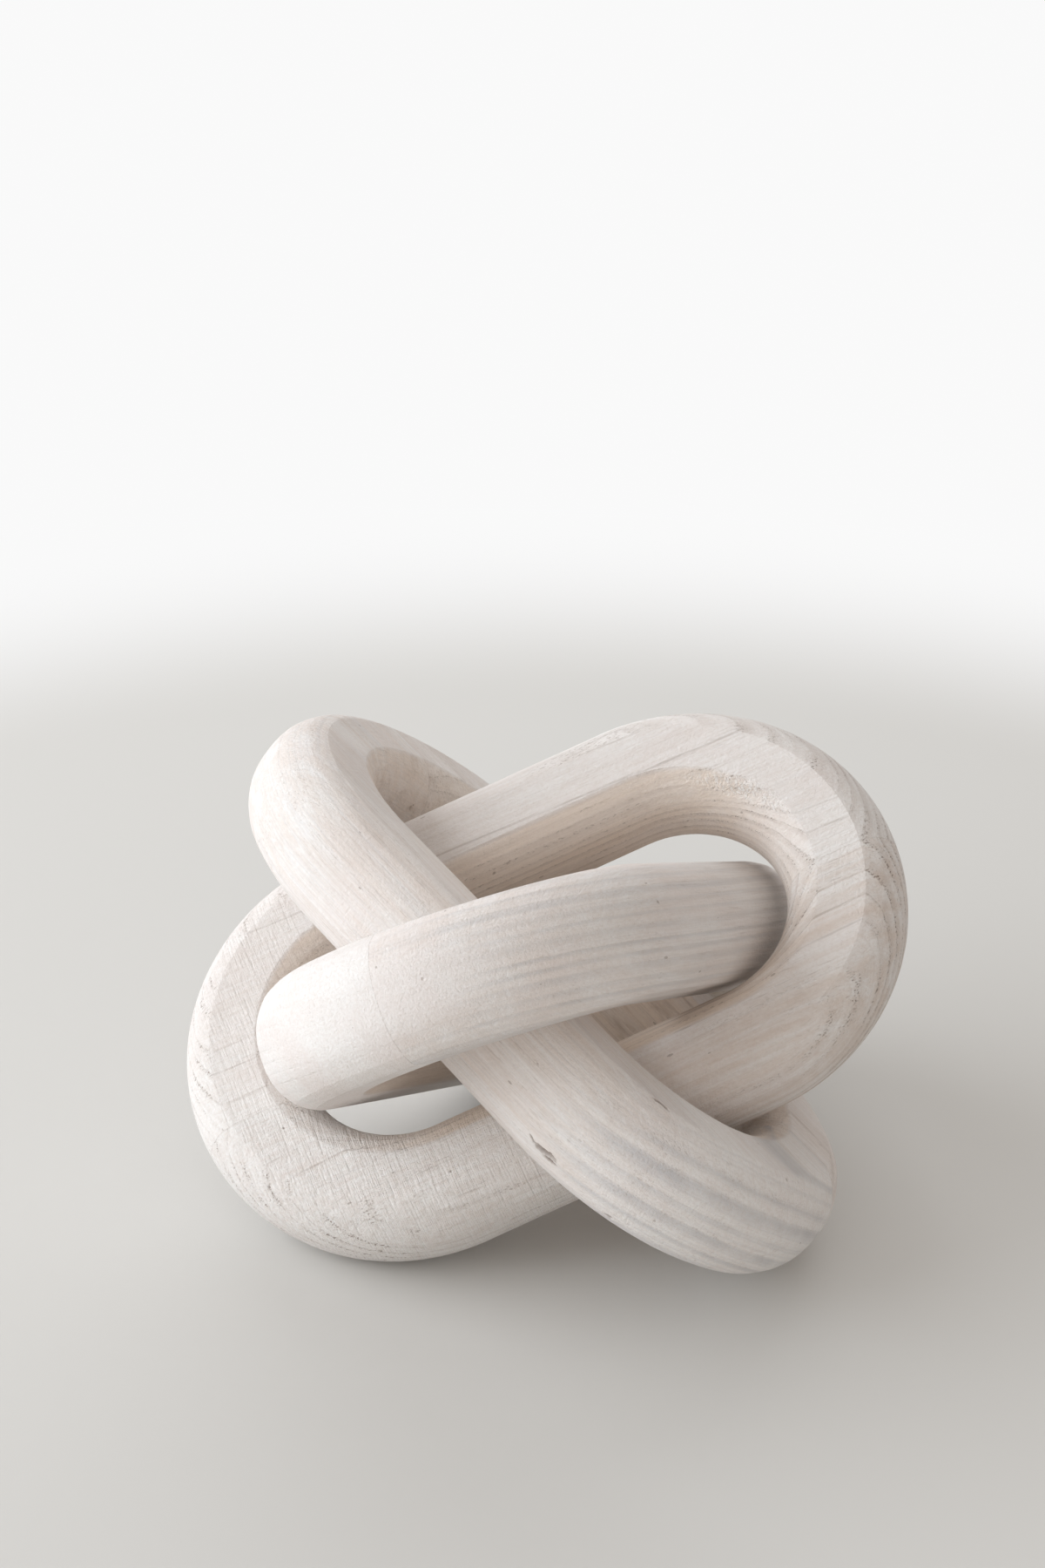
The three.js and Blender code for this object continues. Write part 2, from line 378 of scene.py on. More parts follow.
# Noise in the wood, in cycles a millimetre along, across and through a link. Each half reads its own part of
# it, moved by its seed times bySeed plus offset.
woodNoise = {
    "slow": {
        "cycles": (0.009, 0.024, 0.024),
        "bySeed": (1.0, 2.1, 0.0),
        "offset": (0.0, 0.0, 3.0),
        "detail": 1.0,
        "roughness": 0.5,
    },
    "quick": {
        "cycles": (0.05, 0.35, 0.35),
        "bySeed": (1.3, 0.0, 1.0),
        "offset": (0.0, 5.0, 0.0),
        "detail": 3.0,
        "roughness": 0.5,
    },
    "patchy": {
        "cycles": (0.04, 0.10, 0.10),
        "bySeed": (3.7, 0.0, 1.0),
        "offset": (0.0, 1.0, 0.0),
        "detail": 3.0,
        "roughness": 0.5,
    },
    "broken": {
        "cycles": (0.10, 1.1, 1.1),
        "bySeed": (1.0, 5.0, 0.0),
        "offset": (0.0, 0.0, 2.0),
        "detail": 4.0,
        "roughness": 0.7,
    },
    "fibres": {
        "cycles": (0.045, 1.5, 1.5),
        "bySeed": (1.0, 0.0, 0.0),
        "offset": (0.0, 2.0, 7.0),
        "detail": 5.0,
        "roughness": 0.7,
    },
    "dashes": {
        "cycles": (0.10, 1.9, 1.9),
        "bySeed": (1.7, 0.0, 0.0),
        "offset": (0.0, 5.0, 1.0),
        "detail": 2.0,
        "roughness": 0.6,
    },
    "pores": {
        "cycles": (0.85, 2.4, 2.4),
        "bySeed": (2.0, 0.0, 0.0),
        "offset": (0.0, 9.0, 4.0),
        "detail": 2.0,
        "roughness": 0.7,
    },
    "scratches": {
        "cycles": (1.60, 0.09, 0.09),
        "bySeed": (1.0, 0.0, 0.0),
        "offset": (0.0, 4.0, 1.0),
        "detail": 3.0,
        "roughness": 0.72,
    },
    "grit": {
        "cycles": (1.1, 1.3, 1.3),
        "bySeed": (1.0, 0.0, 0.0),
        "offset": (0.0, 1.0, 1.0),
        "detail": 3.0,
        "roughness": 0.75,
    },
    "mottle": {
        "cycles": (0.28, 0.42, 0.42),
        "bySeed": (2.3, 0.0, 0.0),
        "offset": (0.0, 7.0, 6.0),
        "detail": 4.0,
        "roughness": 0.62,
    },
    "blotch": {
        "cycles": (0.030, 0.055, 0.055),
        "bySeed": (1.0, 0.0, 0.0),
        "offset": (0.0, 6.0, 2.0),
        "detail": 3.0,
        "roughness": 0.55,
    },
    "streak": {
        "cycles": (0.008, 0.22, 0.22),
        "bySeed": (1.9, 0.0, 0.0),
        "offset": (0.0, 3.0, 5.0),
        "detail": 4.0,
        "roughness": 0.65,
    },
    "patchNoise": {
        "cycles": (0.06, 0.30, 0.30),
        "bySeed": (1.1, 0.0, 0.0),
        "offset": (0.0, 8.0, 2.0),
        "detail": 4.0,
        "roughness": 0.65,
    },
    "ridges": {
        "cycles": (1.3, 0.65, 0.65),
        "bySeed": (1.0, 0.0, 0.0),
        "offset": (0.0, 2.0, 2.0),
        "detail": 2.0,
        "roughness": 0.7,
    },
}
ringShape = {
    "quickShare": 0.45,
    "unevenCycles": 0.16,
    "unevenDetail": 1.0,
    "unevenShare": 0.9,
    "ringEnd": 0.90,
}
fineLine = {"alongCycles": 0.03, "radiusCycles": 2.1, "detail": 2.0}
hairline = {"core": 0.02, "leastWhereFaded": 0.85}
speck = {
    "cycles": (0.10, 0.26, 0.26),
    "bySeed": (1.0, 0.0, 2.0),
    "offset": (0.0, 3.0, 0.0),
    "largest": 0.085,
    "darkness": 0.5,
}

# From which value to which a layer comes in. Where it doesn't run from 0 to 1, and the half sets no strength
# of its own, its strength at either end follows.
woodRange = {
    "bandRise": (0.30, 0.72),
    "bandFall": (0.78, 0.98, 1.0, 0.0),
    "bandStrength": (0.0, 1.0, 0.45, 1.0),
    "bandCover": (0.30, 0.70),
    "flatFace": (0.92, 0.99),
    "fineLine": (0.42, 0.72),
    "hairBreaks": (0.36, 0.60, 0.10, 1.0),
    "hairStrength": (0.10, 0.65, 0.20, 1.0),
    "dash": (0.60, 0.70),
    "dashPatch": (0.38, 0.62),
    "pore": (0.54, 0.66),
    "poreRow": (0.25, 0.60, 1.0, 0.0),
    "porePatch": (0.40, 0.56),
    "poreOnCut": (0.12, 0.50, 0.55, 1.0),
    "rosyPatch": (0.34, 0.66),
    "warmStreak": (0.32, 0.64),
    "bareAndShadeStreak": (0.30, 0.70),
    "windowWall": (-6.8, -5.3, 1.0, 0.0),
    "darkPatchCover": (0.46, 0.66),
    "whiteEnd": (0.80, 0.99),
    "whiteMottle": (0.30, 0.62, 0.45, 1.0),
    "fibreTone": (0.38, 0.68, 0.0, 0.20),
    "gritTone": (0.42, 0.66),
    "scratchTone": (0.40, 0.62),
    "seamWidth": (0.05, 0.25, 0.34, 0.0),
    "seamBreaks": (0.42, 0.60),
    "flake": (0.47, 0.60, 0.0, 0.6),
    "tornRidge": (0.45, 0.62),
}

# Which share of a half's own strength is left where a layer lies thin or fades, and what else the layers add
woodShare = {
    "bandWhereThin": 0.45,
    "warmthOutsideReach": 0.25,
    "bareAndShadeWhereThin": 0.7,
    "bareAndShadeWhereFaded": 0.15,
    "whiteOnEnd": 0.25,
    "whiteLostInReach": 0.5,
    "gritTone": 0.2,
    "scratchTone": 0.05,
}

# How high each layer stands in the relief, in shares of its depth; what is below zero is sunk
reliefShare = {"fibres": 0.45, "mottle": 0.25, "line": -0.12, "pores": -0.20, "band": 0.15, "torn": 0.35}


def ranged(tree, value, kind, *ends):
    return remap(tree, value, *woodRange[kind], *ends)


def seedShift(settings, seed):
    return [seed * share + extra for share, extra in zip(settings["bySeed"], settings["offset"])]


def woodPattern(tree, point, seed, kind):
    settings = woodNoise[kind]
    fractal = settings["detail"], settings["roughness"]
    return grainNoise(tree, point, settings["cycles"], seedShift(settings, seed), *fractal)


def linkCoordinates(tree, place):
    back = place.to_3x3().transposed()
    inputs = {
        "Vector": addNode(tree, "TexCoord").outputs["Object"],
        "Location": back @ place.translation * -millimetres,
        "Rotation": back.to_euler("XYZ"),
        "Scale": (millimetres, millimetres, millimetres),
    }
    return addNode(tree, "Mapping", inputs, vector_type="POINT").outputs[0]


# How far the surface faces the link's own window, from the distance to the arm's middle line: there the bare
# wood and the painted warm shade go
def windowSide(tree, along, across):
    fromMiddle = calc(tree, "ABSOLUTE", along)
    past = calc(tree, "MAXIMUM", calc(tree, "SUBTRACT", fromMiddle, halfArm * millimetres), 0.0)
    squares = calc(tree, "MULTIPLY_ADD", past, past, product(tree, across, across))
    offset = calc(tree, "SUBTRACT", calc(tree, "SQRT", squares), bowRadius * millimetres)
    return ranged(tree, offset, "windowWall")


# How far the surface faces one of the link's own ways: along its fibres (0) or through its thickness (2)
def surfaceFaces(tree, place, way):
    normal = addNode(tree, "TexCoord").outputs["Normal"]
    inputs = {0: normal, 1: place.to_3x3().col[way]}
    facing = addNode(tree, "VectorMath", inputs, operation="DOT_PRODUCT").outputs["Value"]
    return calc(tree, "ABSOLUTE", facing)


# Growth rings are cylinders round the tree's pith: the distance to it, which part of a ring that is, and
# that ring's lot
def ringPattern(tree, wood, grain):
    pithAcross, pithThrough = grain["pith"]
    along = wood["along"]
    fromPith = calc(tree, "SUBTRACT", wood["across"], pithAcross)
    sideways = calc(tree, "MULTIPLY_ADD", along, grain["driftAcross"], fromPith)
    fromPith = calc(tree, "SUBTRACT", wood["through"], pithThrough)
    upwards = calc(tree, "MULTIPLY_ADD", along, grain["driftThrough"], fromPith)
    squares = calc(tree, "MULTIPLY_ADD", sideways, sideways, product(tree, upwards, upwards))
    radius = calc(tree, "MULTIPLY_ADD", wood["slow"], grain["wander"], calc(tree, "SQRT", squares))
    radius = calc(tree, "MULTIPLY_ADD", wood["quick"], grain["wander"] * ringShape["quickShare"], radius)
    inputs = {"W": radius, "Scale": ringShape["unevenCycles"], "Detail": ringShape["unevenDetail"]}
    uneven = addNode(tree, "TexNoise", inputs, noise_dimensions="1D").outputs["Fac"]
    ring = calc(tree, "DIVIDE", radius, grain["ringWidth"])
    ring = calc(tree, "MULTIPLY_ADD", uneven, ringShape["unevenShare"], ring)
    number = calc(tree, "ADD", calc(tree, "FLOOR", ring), grain["seed"])
    lot = addNode(tree, "TexWhiteNoise", {"W": number}, noise_dimensions="1D").outputs["Value"]
    return radius, calc(tree, "FRACT", ring), lot


# Everything that the layers of one half's finish read: place in the link, noise, growth rings and which way
# the surface faces
def woodReadings(tree, place, grain):
    point = linkCoordinates(tree, place)
    wood = {kind: woodPattern(tree, point, grain["seed"], kind) for kind in woodNoise}
    wood["point"] = point
    wood["along"], wood["across"], wood["through"] = addNode(tree, "SeparateXYZ", {0: point}).outputs
    wood["radius"], wood["part"], wood["lot"] = ringPattern(tree, wood, grain)
    toRingEnd = calc(tree, "ABSOLUTE", calc(tree, "SUBTRACT", wood["part"], ringShape["ringEnd"]))
    wood["edge"] = product(tree, toRingEnd, grain["ringWidth"])
    wood["cut"] = surfaceFaces(tree, place, 0)
    endOn = remap(tree, wood["cut"], *grain["endTurn"])
    wood["kept"] = calc(tree, "SUBTRACT", 1.0, product(tree, endOn, grain["endFade"]))
    wood["plainer"] = ranged(tree, surfaceFaces(tree, place, 2), "flatFace", 1.0, 1 - grain["faceFade"])
    # where along the link the warm streaks come in, partly as painted warm shade
    wood["worn"] = remap(tree, wood["along"], *grain["warmFade"])
    wood["scratched"] = remap(tree, wood["along"], *grain["scratchFade"])
    for layer in ("torn", "stain"):
        reading = {"attribute_name": layer, "attribute_type": "GEOMETRY"}
        wood[layer] = addNode(tree, "Attribute", **reading).outputs["Fac"]
    return wood


# Latewood bands, each ring with its own strength, worn thin in places
def latewoodBands(tree, wood, grain):
    rise = ranged(tree, wood["part"], "bandRise")
    fall = ranged(tree, wood["part"], "bandFall")
    strength = ranged(tree, wood["lot"], "bandStrength")
    thin = grain["bandContrast"] * woodShare["bandWhereThin"]
    cover = ranged(tree, wood["patchy"], "bandCover", thin, grain["bandContrast"])
    faded = remap(tree, wood["along"], *grain["bandFade"])
    return product(tree, rise, fall, strength, cover, faded, wood["kept"], wood["plainer"])


# Fine lines that follow the rings
def fineLines(tree, wood, grain):
    inputs = {
        "X": product(tree, wood["along"], fineLine["alongCycles"]),
        "Y": product(tree, wood["radius"], fineLine["radiusCycles"]),
        "Z": grain["seed"],
    }
    lineUp = addNode(tree, "CombineXYZ", inputs).outputs[0]
    inputs = {"Vector": lineUp, "Scale": 1.0, "Detail": fineLine["detail"]}
    fine = addNode(tree, "TexNoise", inputs).outputs["Fac"]
    fine = ranged(tree, fine, "fineLine", 0.0, grain["fineLines"])
    return product(tree, fine, wood["kept"], wood["plainer"])


# Hairlines where one ring ends: only on some rings, and broken along the grain
def hairlines(tree, wood, grain):
    line = remap(tree, wood["edge"], hairline["core"], grain["hairWidth"], 1.0, 0.0)
    breaks = ranged(tree, wood["broken"], "hairBreaks")
    strength = ranged(tree, wood["lot"], "hairStrength")
    faded = remap(tree, wood["along"], *grain["bandFade"], hairline["leastWhereFaded"], 1.0)
    return product(tree, line, wood["kept"], breaks, strength, faded)


def shortDashes(tree, wood):
    return product(tree, ranged(tree, wood["dashes"], "dash"), ranged(tree, wood["patchy"], "dashPatch"))


# Pores gather where a ring ends, most on cut grain
def poreRows(tree, wood, grain):
    pores = ranged(tree, wood["pores"], "pore")
    rows = ranged(tree, wood["edge"], "poreRow")
    patches = ranged(tree, wood["patchy"], "porePatch")
    onCut = ranged(tree, wood["cut"], "poreOnCut")
    return product(tree, pores, rows, patches, onCut, wood["plainer"], grain["pores"])


def darkSpecks(tree, wood, grain):
    moved = scaleAndMove(tree, wood["point"], speck["cycles"], seedShift(speck, grain["seed"]))
    cells = addNode(tree, "TexVoronoi", {"Vector": moved, "Scale": 1.0})
    chosen = addNode(tree, "SeparateColor", {0: cells.outputs["Color"]}).outputs[0]
    size = remap(tree, chosen, grain["speckRarity"], 1.0, 0.0, speck["largest"])
    return product(tree, calc(tree, "LESS_THAN", cells.outputs["Distance"], size), speck["darkness"])


def glueSeam(tree, wood, glueLine):
    fromGlue = calc(tree, "ABSOLUTE", calc(tree, "SUBTRACT", wood["across"], glueLine * millimetres))
    return product(tree, ranged(tree, fromGlue, "seamWidth"), ranged(tree, wood["broken"], "seamBreaks"))


# The wash itself: rosy patches, warm streaks that are partly painted warm shade, bare wood and painted warm
# shade on the window's side with darker brown patches in it, and white where it lies thick
def washColour(tree, wood, grain):
    rosy = calc(tree, "ADD", ranged(tree, wood["blotch"], "rosyPatch"), grain["rosiness"])
    colour = mixColour(tree, rosy, washedWood["wash"], washedWood["rosyWash"])
    outsideReach = woodShare["warmthOutsideReach"]
    # Warm brown streaks, stronger where warmFade has come in: partly the wood's own reddish streaks, partly
    # painted warm shade
    warm = product(tree, ranged(tree, wood["streak"], "warmStreak", 0.0, grain["warmth"]), wood["kept"])
    warm = product(tree, warm, calc(tree, "MULTIPLY_ADD", wood["worn"], 1 - outsideReach, outsideReach))
    colour = mixColour(tree, warm, colour, washedWood["warmStreak"])
    # Bare wood and painted warm shade on the walls of the link's own window, with darker brown patches in
    # them
    thin = grain["bareAndShadeInside"] * woodShare["bareAndShadeWhereThin"]
    bareAndShade = ranged(tree, wood["streak"], "bareAndShadeStreak", thin, grain["bareAndShadeInside"])
    fromMiddle = calc(tree, "ABSOLUTE", wood["along"])
    faded = remap(tree, fromMiddle, *grain["bareAndShadeFade"], woodShare["bareAndShadeWhereFaded"], 1.0)
    bareAndShade = product(tree, windowSide(tree, wood["along"], wood["across"]), bareAndShade, faded)
    colour = mixColour(tree, bareAndShade, colour, washedWood["bareWoodAndShade"])
    darkPatched = product(tree, bareAndShade, ranged(tree, wood["patchNoise"], "darkPatchCover", 0.0, grain["darkPatches"]))
    colour = mixColour(tree, darkPatched, colour, washedWood["darkPatch"])
    onEnd = ranged(tree, wood["cut"], "whiteEnd")
    white = calc(tree, "MULTIPLY_ADD", onEnd, woodShare["whiteOnEnd"], grain["whiteness"])
    whole = calc(tree, "MULTIPLY_ADD", wood["worn"], -woodShare["whiteLostInReach"], 1.0)
    mottled = ranged(tree, wood["mottle"], "whiteMottle")
    white = product(tree, mottled, white, calc(tree, "SUBTRACT", 1.0, bareAndShade), whole)
    return mixColour(tree, white, colour, washedWood["paleWash"])


# Darker fibres, grit in the wash and ploughed scratches
def fibreTone(tree, wood, grain):
    gritty = grain["rough"] * woodShare["gritTone"]
    grit = ranged(tree, wood["grit"], "gritTone", 0.0, gritty)
    scratchy = grain["scratches"] * woodShare["scratchTone"]
    ploughed = ranged(tree, wood["scratches"], "scratchTone", 0.0, scratchy)
    tone = calc(tree, "ADD", ranged(tree, wood["fibres"], "fibreTone"), grit)
    return calc(tree, "ADD", tone, product(tree, wood["scratched"], ploughed))


def woodRelief(tree, wood, grain, layers):
    scratches = product(tree, wood["scratches"], wood["scratched"])
    ridges = product(tree, wood["torn"], ranged(tree, wood["ridges"], "tornRidge"))
    height = product(tree, wood["grit"], grain["rough"])
    height = calc(tree, "MULTIPLY_ADD", wood["fibres"], reliefShare["fibres"], height)
    height = calc(tree, "MULTIPLY_ADD", wood["mottle"], reliefShare["mottle"], height)
    height = calc(tree, "MULTIPLY_ADD", layers["line"], reliefShare["line"], height)
    height = calc(tree, "MULTIPLY_ADD", layers["pores"], reliefShare["pores"], height)
    height = calc(tree, "MULTIPLY_ADD", scratches, grain["scratches"], height)
    height = calc(tree, "MULTIPLY_ADD", layers["band"], reliefShare["band"], height)
    height = calc(tree, "MULTIPLY_ADD", ridges, reliefShare["torn"], height)
    inputs = {"Height": height, "Strength": 1.0, "Distance": washedWood["reliefDepth"]}
    return addNode(tree, "Bump", inputs).outputs[0]


def whitewashedWood(name, place, glueLine, grain):
    material, tree = newMaterial(name)
    wood = woodReadings(tree, place, grain)
    layers = {
        "band": latewoodBands(tree, wood, grain),
        "line": hairlines(tree, wood, grain),
        "pores": poreRows(tree, wood, grain),
    }
    colour = washColour(tree, wood, grain)
    for amount, tint in (
        (layers["band"], grain["bandColour"]),
        (fineLines(tree, wood, grain), grain["bandColour"]),
        (product(tree, layers["line"], grain["hairContrast"]), washedWood["hairline"]),
        (fibreTone(tree, wood, grain), washedWood["fibre"]),
        (product(tree, shortDashes(tree, wood), grain["dashes"]), washedWood["hairline"]),
        (layers["pores"], washedWood["pore"]),
        (glueSeam(tree, wood, glueLine), washedWood["hairline"]),
        (darkSpecks(tree, wood, grain), washedWood["pore"]),
        (product(tree, wood["torn"], ranged(tree, wood["ridges"], "flake")), washedWood["paleWash"]),
        (wood["stain"], washedWood["crack"]),
    ):
        colour = mixColour(tree, amount, colour, tint)
    inputs = {
        "Base Color": colour,
        "Roughness": washedWood["roughness"],
        "Specular IOR Level": washedWood["specular"],
        "Normal": woodRelief(tree, wood, grain, layers),
    }
    shader = addNode(tree, "BsdfPrincipled", inputs)
    addNode(tree, "OutputMaterial", {"Surface": shader.outputs[0]})
    return material


# In the settings of the halves below, pith, ringWidth and hairWidth are millimetres, and a fade gives two
# places along the link in millimetres: where a layer starts to come in and where it is whole. The fade of the
# bare wood and painted warm shade counts from the link's middle both ways. allOver is a fade that is past its
# end everywhere.
allOver = (-400.0, -300.0)

# The facing link: hairlines along its face, contour lines round its right end, torn grain inside the bow
facingLink = {
    "body": "facing_link",
    "glueLine": -0.0078,
    "endBulge": 0.0004,
    "seed": 1.0,
    "halves": {
        "upper": {
            "side": 1,
            "seed": 11.0,
            "pith": (-60.0, -200.0),
            "ringWidth": 2.3,
            "driftAcross": 0.03,
            "driftThrough": 0.004,
            "wander": 0.9,
            "bandColour": (0.48, 0.4, 0.35),
            "bandContrast": 0.42,
            "faceFade": 0.85,
            "endTurn": (0.70, 0.98),
            "bandFade": (-45.0, 5.0),
            "fineLines": 0.12,
            "endFade": 0.3,
            "hairContrast": 0.42,
            "hairWidth": 0.15,
            "dashes": 0.2,
            "pores": 0.85,
            "warmFade": allOver,
            "warmth": 0.1,
            "rosiness": -0.05,
            "bareAndShadeFade": (72.0, 54.0),
            "bareAndShadeInside": 0.85,
            "whiteness": 0.8,
            "rough": 0.65,
            "scratches": 1.0,
            "darkPatches": 0.0,
            "scratchFade": (-30.0, -65.0),
            "speckRarity": 0.55,
        },
        "lower": {
            "side": -1,
            "seed": 23.0,
            "pith": (80.0, -200.0),
            "ringWidth": 2.8,
            "driftAcross": -0.02,
            "driftThrough": 0.006,
            "wander": 0.7,
            "bandColour": (0.5, 0.41, 0.35),
            "bandContrast": 0.42,
            "faceFade": 0.6,
            "endTurn": (0.70, 0.98),
            "bandFade": (-20.0, 30.0),
            "fineLines": 0.14,
            "endFade": 0.3,
            "hairContrast": 0.5,
            "hairWidth": 0.18,
            "dashes": 0.35,
            "pores": 1.0,
            "warmFade": (-35.0, 20.0),
            "warmth": 0.62,
            "rosiness": -0.1,
            "bareAndShadeFade": (64.0, 30.0),
            "bareAndShadeInside": 1.0,
            "whiteness": 0.75,
            "rough": 0.85,
            "scratches": 1.25,
            "darkPatches": 0.1,
            "scratchFade": (5.0, -25.0),
            "speckRarity": 0.15,
        },
    },
    "marks": [
        {
            "route": [(-0.0011, 0.0262, 0.0102), (-0.0002, 0.0267, 0.0102)],
            "width": 0.0004,
            "depth": 0.0002,
            "grit": 0.0009,
            "tear": 0.0,
            "stain": 0.5,
        },
        {
            "route": [
                (0.0505, 0.0275, 0.0137),
                (0.0560, 0.0236, 0.0138),
                (0.0617, 0.0185, 0.0140),
                (0.0660, 0.0125, 0.0143),
                (0.0685, 0.0060, 0.0143),
            ],
            "width": 0.0030,
            "depth": 0.0005,
            "grit": 0.0006,
            "tear": 1.0,
            "stain": 0.0,
        },
        {
            "route": [(-0.0786, -0.0256, 0.0128), (-0.0779, -0.0251, 0.0129)],
            "width": 0.0004,
            "depth": 0.0002,
            "grit": 0.0009,
            "tear": 0.0,
            "stain": 0.7,
        },
        {
            "route": [(-0.0699, -0.0142, 0.0150), (-0.0696, -0.0138, 0.0150)],
            "width": 0.0004,
            "depth": 0.0002,
            "grit": 0.0009,
            "tear": 0.0,
            "stain": 0.8,
        },
        {
            "route": [(-0.0382, -0.0415, 0.0150), (-0.0375, -0.0412, 0.0150)],
            "width": 0.0004,
            "depth": 0.0002,
            "grit": 0.0009,
            "tear": 0.0,
            "stain": 0.8,
        },
    ],
}

# The crossing link: wide bluish bands round its right end, reddish streaks and a crack on the near arm
crossingLink = {
    "body": "crossing_link",
    "glueLine": -0.0128,
    "endBulge": 0.0004,
    "seed": 2.0,
    "halves": {
        "near": {
            "side": 1,
            "seed": 37.0,
            "pith": (24.0, -150.0),
            "ringWidth": 4.7,
            "driftAcross": 0.02,
            "driftThrough": 0.01,
            "wander": 1.4,
            "bandColour": (0.475, 0.475, 0.495),
            "bandContrast": 0.92,
            "faceFade": 0.0,
            "endTurn": (0.70, 0.98),
            "bandFade": (-38.0, -66.0),
            "fineLines": 0.2,
            "endFade": 0.15,
            "hairContrast": 0.1,
            "hairWidth": 0.2,
            "dashes": 0.3,
            "pores": 0.3,
            "warmFade": (-75.0, -45.0),
            "warmth": 0.38,
            "rosiness": -0.1,
            "bareAndShadeFade": allOver,
            "bareAndShadeInside": 0.6,
            "whiteness": 0.6,
            "rough": 0.6,
            "scratches": 0.3,
            "darkPatches": 0.5,
            "scratchFade": allOver,
            "speckRarity": 0.45,
        },
        "far": {
            "side": -1,
            "seed": 41.0,
            "pith": (-50.0, -150.0),
            "ringWidth": 3.2,
            "driftAcross": -0.01,
            "driftThrough": 0.006,
            "wander": 1.4,
            "bandColour": (0.56, 0.49, 0.44),
            "bandContrast": 0.25,
            "faceFade": 0.0,
            "endTurn": (0.70, 0.98),
            "bandFade": allOver,
            "fineLines": 0.16,
            "endFade": 0.45,
            "hairContrast": 0.3,
            "hairWidth": 0.16,
            "dashes": 0.35,
            "pores": 0.35,
            "warmFade": allOver,
            "warmth": 0.2,
            "rosiness": -0.1,
            "bareAndShadeFade": (85.0, 40.0),
            "bareAndShadeInside": 1.0,
            "whiteness": 0.7,
            "rough": 0.6,
            "scratches": 0.35,
            "darkPatches": 0.7,
            "scratchFade": allOver,
            "speckRarity": 0.45,
        },
    },
    "marks": [
        {
            "route": [(-0.0414, 0.0517, -0.0090), (-0.0423, 0.0515, -0.0094), (-0.0432, 0.0512, -0.0099)],
            "width": 0.0004,
            "depth": 0.0004,
            "grit": 0.0007,
            "tear": 0.3,
            "stain": 0.8,
        },
        {
            "route": [
                (-0.0432, 0.0512, -0.0099),
                (-0.0446, 0.0509, -0.0101),
                (-0.0461, 0.0507, -0.0100),
                (-0.0486, 0.0504, -0.0096),
                (-0.0497, 0.0499, -0.0100),
            ],
            "width": 0.0010,
            "depth": 0.0011,
            "grit": 0.0010,
            "tear": 0.3,
            "stain": 0.80,
        },
        {
            "route": [(-0.0464, 0.0500, -0.0110), (-0.0486, 0.0498, -0.0108), (-0.0504, 0.0493, -0.0106)],
            "width": 0.0006,
            "depth": 0.0005,
            "grit": 0.0007,
            "tear": 0.2,
            "stain": 0.9,
        },
        {
            "route": [(-0.0546, 0.0413, 0.0147), (-0.0564, 0.0400, 0.0148), (-0.0590, 0.0393, 0.0147)],
            "width": 0.00045,
            "depth": 0.0004,
            "grit": 0.0009,
            "tear": 0.3,
            "stain": 0.7,
        },
        {
            "route": [(-0.0632, 0.0408, -0.0125), (-0.0652, 0.0398, -0.0127)],
            "width": 0.0005,
            "depth": 0.0005,
            "grit": 0.0009,
            "tear": 0.3,
            "stain": 0.75,
        },
        {
            "route": [(-0.0834, 0.0230, -0.0095), (-0.0830, 0.0227, -0.0094)],
            "width": 0.0004,
            "depth": 0.0003,
            "grit": 0.0009,
            "tear": 0.0,
            "stain": 0.7,
        },
        {
            "route": [(0.0596, -0.0085, 0.0045), (0.0600, -0.0094, 0.0045)],
            "width": 0.0009,
            "depth": 0.0003,
            "grit": 0.0009,
            "tear": 0.0,
            "stain": 0.35,
        },
    ],
}

# The closing link: fine grey stripes along its near end, and a paler left half that shows hardly any
closingLink = {
    "body": "closing_link",
    "glueLine": -0.0009,
    "endBulge": 0.0002,
    "seed": 3.0,
    "halves": {
        "right": {
            "side": 1,
            "seed": 53.0,
            "pith": (10.0, -240.0),
            "ringWidth": 2.7,
            "driftAcross": 0.02,
            "driftThrough": 0.014,
            "wander": 1.0,
            "bandColour": (0.465, 0.46, 0.47),
            "bandContrast": 0.52,
            "faceFade": 0.0,
            "endTurn": (0.84, 0.99),
            "bandFade": (91.0, 80.0),
            "fineLines": 0.12,
            "endFade": 0.95,
            "hairContrast": 0.12,
            "hairWidth": 0.2,
            "dashes": 0.18,
            "pores": 0.1,
            "warmFade": (-25.0, 15.0),
            "warmth": 0.22,
            "rosiness": 0.1,
            "bareAndShadeFade": allOver,
            "bareAndShadeInside": 0.95,
            "whiteness": 0.38,
            "rough": 0.55,
            "scratches": 0.2,
            "darkPatches": 0.0,
            "scratchFade": allOver,
            "speckRarity": 0.6,
        },
        "left": {
            "side": -1,
            "seed": 61.0,
            "pith": (-12.0, 190.0),
            "ringWidth": 2.6,
            "driftAcross": 0.02,
            "driftThrough": -0.01,
            "wander": 1.2,
            "bandColour": (0.52, 0.49, 0.47),
            "bandContrast": 0.15,
            "faceFade": 0.0,
            "endTurn": (0.62, 0.93),
            "bandFade": allOver,
            "fineLines": 0.1,
            "endFade": 0.95,
            "hairContrast": 0.06,
            "hairWidth": 0.16,
            "dashes": 0.18,
            "pores": 0.08,
            "warmFade": allOver,
            "warmth": 0.08,
            "rosiness": -0.05,
            "bareAndShadeFade": allOver,
            "bareAndShadeInside": 0.8,
            "whiteness": 0.2,
            "rough": 0.55,
            "scratches": 0.2,
            "darkPatches": 0.2,
            "scratchFade": allOver,
            "speckRarity": 0.6,
        },
    },
    "marks": [
        {
            "route": [(0.0484, 0.0512, 0.0037), (0.0491, 0.0521, 0.0037)],
            "width": 0.0005,
            "depth": 0.0003,
            "grit": 0.0009,
            "tear": 0.0,
            "stain": 0.6,
        },
        {
            "route": [(0.0888, 0.0102, 0.0013), (0.0891, 0.0107, 0.0013)],
            "width": 0.0005,
            "depth": 0.0002,
            "grit": 0.0009,
            "tear": 0.0,
            "stain": 0.4,
        },
    ],
}


